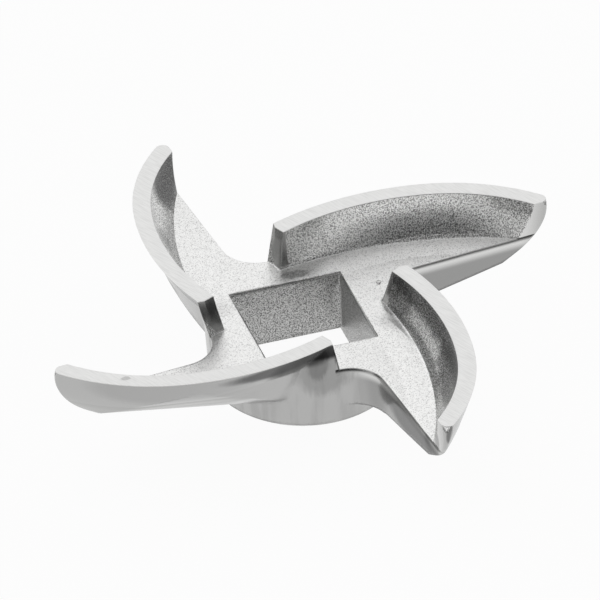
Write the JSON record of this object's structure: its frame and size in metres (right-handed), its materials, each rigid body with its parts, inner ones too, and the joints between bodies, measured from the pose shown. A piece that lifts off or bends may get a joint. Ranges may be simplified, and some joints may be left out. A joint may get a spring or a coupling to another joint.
{
  "type": "meat grinder knife",
  "caption": "Meat grinder knife: curved blades with flat ground lands, hollow behind the edge and undercut in front, around a hub with a square drive hole.",
  "frame": {"origin": "centre of the flat underside of the boss, on the axis of the drive hole", "axes": "+Z along the hole, from the boss towards the cutting lands; X and Y along the sides of the hole"},
  "size_m": [0.0612, 0.0612, 0.012],
  "materials": {
    "cast_stainless_steel": "cast and shot-blasted, tumbled outside, lands ground flat"
  },
  "bodies": {
    "root": {"knife": "cast_stainless_steel"}
  },
  "joints": []
}
